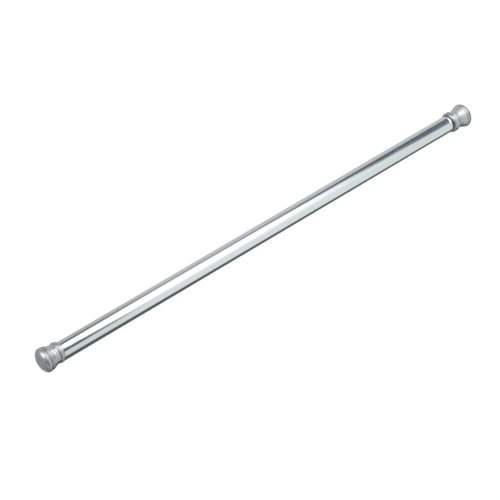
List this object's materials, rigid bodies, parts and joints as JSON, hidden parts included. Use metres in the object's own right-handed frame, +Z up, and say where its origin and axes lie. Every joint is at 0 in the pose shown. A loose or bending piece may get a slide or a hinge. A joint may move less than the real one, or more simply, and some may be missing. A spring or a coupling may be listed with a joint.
{
  "type": "telescoping cargo bar",
  "caption": "Chrome telescoping bar with a padded cup at each end, twist-locked by an inner eccentric cam and sprung to press against the two walls of a truck bed.",
  "frame": {"origin": "centre of the outer tube's pad face", "axes": "+X along the bar from the outer tube's pad to the inner tube's pad; +Z up when the bar lies level"},
  "size_m": [1, 0.0438, 0.0438],
  "materials": {
    "chrome_tube": "polished chrome plate",
    "cup_silver": "satin silver-grey moulding",
    "pad_grey": "smooth matte grey rubber",
    "collar_silver": "glossy silver-grey moulding",
    "nylon_black": "moulded nylon",
    "nylon_white": "moulded natural nylon",
    "zinc_steel": "zinc plated",
    "cast_zinc": "as cast",
    "spring_steel": "oiled, drawn wire"
  },
  "bodies": {
    "outer": {"outer_tube": "chrome_tube", "outer_cap_pad": "pad_grey", "outer_cap_bell": "cup_silver", "outer_cap_collar": "collar_silver", "outer_cap_screw": "zinc_steel", "outer_tube_plug": "nylon_black", "outer_plug_pin": "zinc_steel"},
    "mouth_bush": {"mouth_bush": "nylon_black"},
    "inner": {"inner_tube": "chrome_tube", "inner_cap_pad": "pad_grey", "inner_cap_bell": "cup_silver", "inner_cap_collar": "collar_silver", "inner_cap_screw": "zinc_steel", "inner_tube_plug": "nylon_black", "inner_plug_pin": "zinc_steel", "guide_plug": "nylon_white", "guide_rivet_top": "zinc_steel", "guide_rivet_bottom": "zinc_steel", "spring_seat": "nylon_white", "seat_pin": "zinc_steel"},
    "lock": {"lock_rod": "zinc_steel", "cam_spigot": "cast_zinc", "spigot_pin": "zinc_steel", "cam_washer": "zinc_steel", "cam_screw": "zinc_steel", "tail_washer": "zinc_steel", "tail_nut": "zinc_steel", "main_spring": "spring_steel"},
    "cam_ring": {"cam_ring": "nylon_white"}
  },
  "joints": [
    {"name": "twist", "type": "hinge", "parent": "outer", "child": "mouth_bush", "pos_m": [0.9525, 0, 0], "axis": [1, 0, 0], "range_deg": [0, 90]},
    {"name": "extend", "type": "slide", "parent": "mouth_bush", "child": "inner", "axis": [1, 0, 0], "range_m": [0, 0.76]},
    {"name": "spring_compress", "type": "slide", "parent": "inner", "child": "lock", "axis": [1, 0, 0], "range_m": [0, 0.035], "stiffness_N_per_m": 1800, "springref_m": -0.02, "deforming": ["main_spring"]},
    {"name": "cam_ring_turn", "type": "hinge", "parent": "lock", "child": "cam_ring", "pos_m": [0.053, 0, 0.00075], "axis": [1, 0, 0], "range_deg": [-90, 0]}
  ],
  "couplings": [
    {"joint": "cam_ring_turn", "follows": "twist", "ratio": -1}
  ]
}
